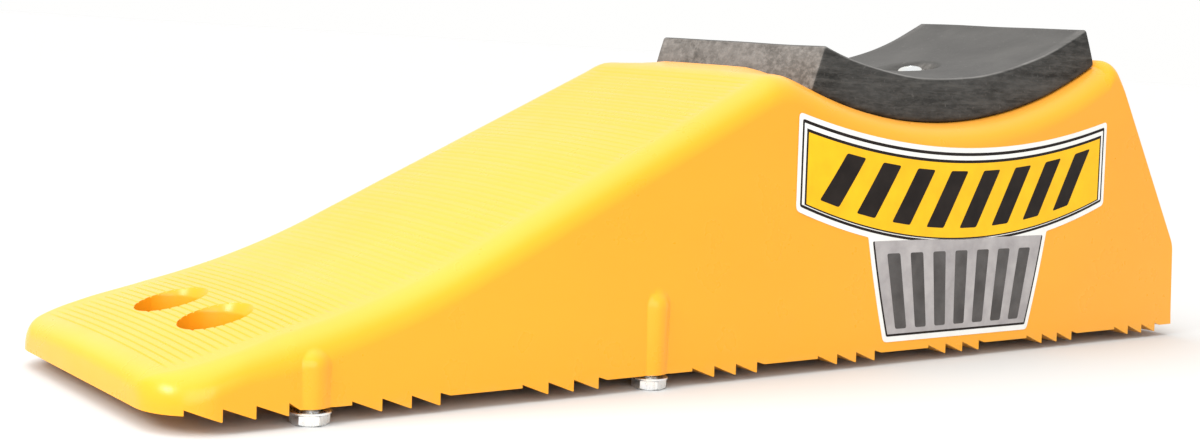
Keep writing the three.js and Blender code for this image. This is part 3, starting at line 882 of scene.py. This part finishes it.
def yellow_plastic():
    """Moulded polyethylene: fine grain, flow clouds, scuffs, a top painted paler and whiter as painted
    sheen, and dust low on the teeth.
    """
    n = Nodes("yellow_plastic")
    clouds = n.noise(9, 4, 0.5, n.stretched(0.5, 1, 1.3))
    cloudy = n.ranged(clouds, 0.35, 0.7)
    plain_yellow = n.mix(cloudy, (0.770, 0.318, 0.010, 1), (0.800, 0.338, 0.012, 1))
    # Upward faces get a paler, whiter yellow: painted sheen standing in for the light on the top.
    painted_top_sheen = n.mix(cloudy, (0.770, 0.328, 0.036, 1), (0.800, 0.350, 0.046, 1))
    colour = n.mix(n.ranged(n.facing()["Z"], 0.5, 0.9), plain_yellow, painted_top_sheen)
    scuffs = n.noise(60, 5, 0.7, n.stretched(0.22, 1, 1.6), 0.6)
    scuff = n.ranged(scuffs, 0.68, 0.8, 0, 0.35)
    colour = n.mix(scuff, colour, (0.82, 0.37, 0.045, 1))
    low = n.ranged(n.split(n.place)["Z"], 0.001, 0.010, 1, 0)
    dust = n.math("MULTIPLY", low, n.ranged(n.noise(140, 4, 0.6), 0.4, 0.7, 0, 0.35))
    colour = n.mix(dust, colour, (0.55, 0.33, 0.10, 1))
    rough = n.ranged(n.noise(38, 4, 0.6), 0.3, 0.7, 0.25, 0.36)
    rough = n.math("ADD", rough, n.math("MULTIPLY", scuff, 0.35))
    grain = n.noise(1500, 2, 0.5)
    ripple = n.noise(26, 3, 0.5)
    normal = n.bump(ripple, 0.0006, 0.25)
    normal = n.bump(grain, 0.00006, 0.35, normal)
    normal = n.bump(scuffs, 0.00008, 0.3, normal)
    return n.finish(colour, rough, normal, Specular_IOR_Level=0.38)


def cut_rubber():
    """Grey rubber sheet: dull, scuffed faces, speckled and streaky cut sides, paler along the rounded upper
    edges; the ends painted lighter and the sides darker, as painted light and shade.
    """
    n = Nodes("cut_rubber")
    facing = n.facing()
    upward = n.ranged(facing["Z"], 0.55, 0.9)
    endward = n.ranged(n.math("ABSOLUTE", facing["X"]), 0.6, 0.85)
    low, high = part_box("cradle_pad")
    half, middle = (high - low) / 2, (high + low) / 2
    place = n.split(n.place)
    along = n.math("ABSOLUTE", n.math("SUBTRACT", place["X"], middle.x))
    across = n.math("ABSOLUTE", place["Y"])
    rim = n.math("MAXIMUM", n.ranged(along, half.x - 0.008, half.x - 0.004),
                 n.ranged(across, half.y - 0.006, half.y - 0.003))
    tilted = n.math("MULTIPLY", n.ranged(facing["Z"], 0.2, 0.5), n.ranged(facing["Z"], 0.8, 0.97, 1, 0))
    streaks = n.noise(56, 6, 0.70, n.stretched(0.38, 1, 2.2), 0.5)
    cuts = n.noise(75, 5, 0.65, n.stretched(0.4, 1, 4.5), 0.6)
    grain = n.noise(300, 5, 0.72, n.stretched(0.38, 1, 1.3))
    blotches = n.noise(22, 5, 0.62, distortion=0.4)
    # Tone by facing: the cut ends are painted much lighter and the sides darker than the top. This is
    # painted light on the ends and painted shade on the sides, laid over each face's own streaks and grain.
    side = n.mix(n.ranged(streaks, 0.32, 0.72), (0.010, 0.010, 0.009, 1), (0.050, 0.049, 0.046, 1))
    side = n.mix(n.ranged(cuts, 0.5, 0.72, 0, 0.45), side, (0.100, 0.096, 0.088, 1))
    side = n.mix(n.ranged(grain, 0.44, 0.68, 0, 0.45), side, (0.094, 0.091, 0.086, 1))
    top = n.mix(n.ranged(blotches, 0.3, 0.7), (0.050, 0.048, 0.046, 1), (0.086, 0.083, 0.079, 1))
    lit_cut_end = n.mix(n.ranged(streaks, 0.3, 0.7), (0.056, 0.052, 0.047, 1), (0.116, 0.107, 0.098, 1))
    lit_cut_end = n.mix(n.ranged(cuts, 0.5, 0.72, 0, 0.5), lit_cut_end, (0.175, 0.164, 0.152, 1))
    lit_cut_end = n.mix(n.ranged(grain, 0.44, 0.66, 0, 0.6), lit_cut_end, (0.230, 0.216, 0.202, 1))
    colour = n.mix(upward, n.mix(endward, side, lit_cut_end), top)
    # The rounded upper edges near the pad's outer boundary are painted paler in streaky patches.
    pale_edge = n.math("MULTIPLY", n.math("MULTIPLY", tilted, rim), n.ranged(streaks, 0.3, 0.6, 0.1, 0.55))
    colour = n.mix(pale_edge, colour, (0.26, 0.25, 0.24, 1))
    specks = n.noise(420, 3, 0.6)
    colour = n.mix(n.ranged(specks, 0.62, 0.76, 0, 0.25), colour, (0.20, 0.19, 0.18, 1))
    scratches = n.noise(70, 4, 0.75, n.stretched(0.16, 1.7, 1), 1.2)
    colour = n.mix(n.ranged(scratches, 0.69, 0.76, 0, 0.25), colour, (0.21, 0.20, 0.19, 1))
    rough = n.ranged(blotches, 0.3, 0.7, 0.62, 0.82)
    normal = n.bump(streaks, 0.0006, 0.5)
    normal = n.bump(specks, 0.00015, 0.4, normal)
    normal = n.bump(blotches, 0.0012, 0.25, normal)
    return n.finish(colour, rough, normal, Specular_IOR_Level=0.25)


def zinc_plate():
    """Bright zinc with a faint yellow and blue passivation and a brushed, slightly spangled grain."""
    n = Nodes("zinc_plate")
    tint = n.noise(130, 3, 0.5)
    colour = n.mix(n.ranged(tint, 0.35, 0.65), (0.90, 0.88, 0.82, 1), (0.84, 0.87, 0.90, 1))
    marks = n.noise(600, 4, 0.6, n.stretched(1, 1, 0.12))
    rough = n.ranged(marks, 0.3, 0.7, 0.20, 0.40)
    normal = n.bump(marks, 0.00004, 0.5)
    return n.finish(colour, rough, normal, Metallic=1.0)


def brass_metal():
    """Dull yellow brass with darker patches and fine tool marks."""
    n = Nodes("brass_metal")
    tint = n.noise(160, 3, 0.5)
    colour = n.mix(n.ranged(tint, 0.35, 0.65), (0.70, 0.48, 0.17, 1), (0.56, 0.36, 0.12, 1))
    marks = n.noise(700, 3, 0.6)
    rough = n.ranged(marks, 0.3, 0.7, 0.25, 0.45)
    normal = n.bump(marks, 0.00004, 0.5)
    return n.finish(colour, rough, normal, Metallic=1.0)


def printed_film(name, light, dark, roughness, gloss):
    """Vinyl film: even ink with slight mottling, tiny scratches and soft wrinkles under the gloss."""
    n = Nodes(name)
    mottle = n.noise(70, 4, 0.6)
    colour = n.mix(n.ranged(mottle, 0.35, 0.7), (*light, 1), (*dark, 1))
    scratches = n.noise(90, 5, 0.8, n.stretched(2.2, 1, 0.3), 1.5)
    rough = n.ranged(scratches, 0.6, 0.78, roughness, roughness + 0.22)
    wrinkles = n.noise(14, 3, 0.5, n.stretched(1.8, 1, 0.5))
    normal = n.bump(wrinkles, 0.0006, 0.2)
    normal = n.bump(scratches, 0.00003, 0.3, normal)
    return n.finish(colour, rough, normal, Specular_IOR_Level=gloss)


# ---- stage --------------------------------------------------------------------------------------
CAMERA_EYE = Vector((-0.5253, -0.5866, 0.1424))    # from the middle of the object's footprint
CAMERA_YAW, CAMERA_PITCH, CAMERA_ROLL = (math.radians(a) for a in (38.69, -6.11, 3.59))
CAMERA_LENS = 49.4


def make_camera():
    """The photo's camera: a point, a direction with a slight roll and a lens, with no shift."""
    data = bpy.data.cameras.new("camera")
    data.lens, data.sensor_width = CAMERA_LENS, 36
    data.clip_start, data.clip_end = 0.01, 50
    camera = placed("camera", data)
    look = Vector((math.sin(CAMERA_YAW) * math.cos(CAMERA_PITCH),
                   math.cos(CAMERA_YAW) * math.cos(CAMERA_PITCH), math.sin(CAMERA_PITCH)))
    level = Vector((math.cos(CAMERA_YAW), -math.sin(CAMERA_YAW), 0))
    up = level.cross(look)
    right = math.cos(CAMERA_ROLL) * level + math.sin(CAMERA_ROLL) * up
    up = -math.sin(CAMERA_ROLL) * level + math.cos(CAMERA_ROLL) * up
    turn = Matrix((right, up, -look)).transposed().to_4x4()
    middle = (CAD_BOX[0] + CAD_BOX[1]) / 2
    foot = Vector((middle.x, middle.y, CAD_BOX[0].z))
    camera.matrix_world = Matrix.Translation(foot + CAMERA_EYE) @ turn
    bpy.context.scene.camera = camera


def area_light(name, place, aim, width, height, watts, colour=(1, 1, 1)):
    """A soft rectangular lamp at a place, turned to a point. Both are in metres."""
    data = bpy.data.lights.new(name, "AREA")
    data.shape, data.size, data.size_y = "RECTANGLE", width, height
    data.energy, data.color = watts, colour
    lamp = placed(name, data)
    lamp.location = place
    lamp.rotation_mode = "QUATERNION"
    lamp.rotation_quaternion = (Vector(aim) - Vector(place)).to_track_quat("-Z", "Y")


def make_floor():
    """A pale round floor, wide enough to meet the pale sky without a line."""
    sides = 96
    turn = full_turn(sides)
    points = [(r * math.cos(a), r * math.sin(a), CAD_BOX[0].z) for r in (0.5, 2, 8, 40) for a in turn]
    faces = [tuple(range(sides))]
    for low in range(0, len(points) - sides, sides):
        for i in range(sides):
            j = (i + 1) % sides
            faces.append((low + i, low + sides + i, low + sides + j, low + j))
    mesh = bpy.data.meshes.new("floor")
    mesh.from_pydata(points, [], faces)
    n = Nodes("pale_floor")
    colour = n.mix(n.noise(3, 2, 0.55), (0.515, 0.515, 0.51, 1), (0.525, 0.525, 0.52, 1))
    mesh.materials.append(n.finish(colour, 0.8))
    floor = placed("floor", mesh)


def make_lights():
    """A white room, a soft sky from above and two soft lamps, at the toe and on the camera's side."""
    world = bpy.data.worlds.new("studio")
    world.use_nodes = True
    background = world.node_tree.nodes["Background"]
    background.inputs["Color"].default_value = (1, 0.998, 0.99, 1)
    background.inputs["Strength"].default_value = 1.0
    bpy.context.scene.world = world
    area_light("key", (-1.05, -0.17, 0.58), (-0.28, -0.03, 0.03), 0.3, 0.3, 5.8, (1, 0.985, 0.95))
    area_light("near", (-0.46, -0.72, 0.33), (0.02, -0.05, 0.05), 0.7, 0.5, 2.85)
    sky = bpy.data.lights.new("overhead", "SUN")
    sky.energy, sky.angle = math.pi, math.radians(70)
    lamp = placed("overhead", sky)
    lamp.rotation_euler = (math.radians(-6), math.radians(-18), 0)
    lamp.visible_glossy = False                    # it would draw a bright band along the rounded edges


# ---- assembly -----------------------------------------------------------------------------------
def settle(piece, material, slot, *nodes):
    """Gives a finished piece its material and body, and lets it stand for its CAD nodes. The slot is not
    used.
    """
    if material is not None:
        piece.data.materials.clear()
        piece.data.materials.append(material)
    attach(piece, "root")
    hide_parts(*nodes)
    return piece


make_camera()
make_floor()
make_lights()
bpy.context.scene.view_settings.view_transform = "Standard"

settle(make_ramp(), yellow_plastic(), "body_plastic", "ramp_body")
pad = settle(make_pad(), cut_rubber(), "pad_rubber", "cradle_pad")

zinc = zinc_plate()
brass = brass_metal()
for end, angle in SCREW_ANGLES.items():
    axis = on_pad_axis(angle)
    settle(pad_screw(f"cross_screw_{end}", axis), zinc, "zinc_steel", f"pad_screw_{end}")
    upper = washer(f"screw_washer_{end}", SCREW_WASHER_R, PAD_THICK - DIMPLE_DEPTH + GAP, WASHER_THICK, axis)
    settle(upper, zinc, "zinc_steel", f"pad_screw_washer_{end}")
    washer_low = -(PAD_BOSS_DEPTH + GAP) - WASHER_THICK
    under = washer(f"under_washer_{end}", NUT_WASHER_R, washer_low, WASHER_THICK, axis)
    settle(under, zinc, "zinc_steel", f"pad_nut_washer_{end}")
    nut_low = washer_low - GAP - NUT_HIGH
    hexagon = chamfered_hex(NUT_FLATS, nut_low, nut_low + NUT_HIGH, True, True, NUT_BORE)
    nut = object_from(f"hex_nut_{end}", *moved(hexagon, axis), smooth_angle=25)
    settle(nut, zinc, "zinc_steel", f"pad_nut_{end}")

for end, x, head_turn in zip(("front", "rear"), BOLT_X, HEAD_TURNS):
    for side_name, side in (("right", -1), ("left", 1)):
        where = f"{end}_{side_name}"
        axis = Matrix.Translation((x, side * BOLT_Y, 0))
        bolt = grip_bolt(f"hex_bolt_{where}", axis, side * head_turn)
        settle(bolt, zinc, "zinc_steel", f"grip_bolt_{where}")
        washer_low = BOLT_HEAD + HEADS_Z + GAP
        flange = washer(f"bolt_washer_{where}", BOLT_WASHER_R, washer_low, BOLT_WASHER_THICK, axis)
        settle(flange, zinc, "zinc_steel", f"grip_washer_{where}")
        settle(insert(f"knurled_insert_{where}", axis), brass, "insert_brass", f"threaded_insert_{where}")

inks = {
    "white": printed_film("white_film", (0.76, 0.75, 0.72), (0.70, 0.69, 0.65), 0.35, 0.4),
    "black": printed_film("black_ink", (0.012, 0.009, 0.008), (0.020, 0.015, 0.013), 0.5, 0.08),
    "yellow": printed_film("yellow_ink", (0.82, 0.46, 0.008), (0.74, 0.40, 0.007), 0.45, 0.15),
    "grey": printed_film("grey_ink", (0.40, 0.375, 0.37), (0.28, 0.26, 0.26), 0.45, 0.15),
    "dark_grey": printed_film("dark_grey_ink", (0.060, 0.055, 0.053), (0.10, 0.093, 0.09), 0.5, 0.1),
}
for side_name, side in (("right", -1), ("left", 1)):
    decal = make_decal(f"printed_decal_{side_name}", side, inks)
    settle(decal, None, "decal_film", f"side_decal_{side_name}")
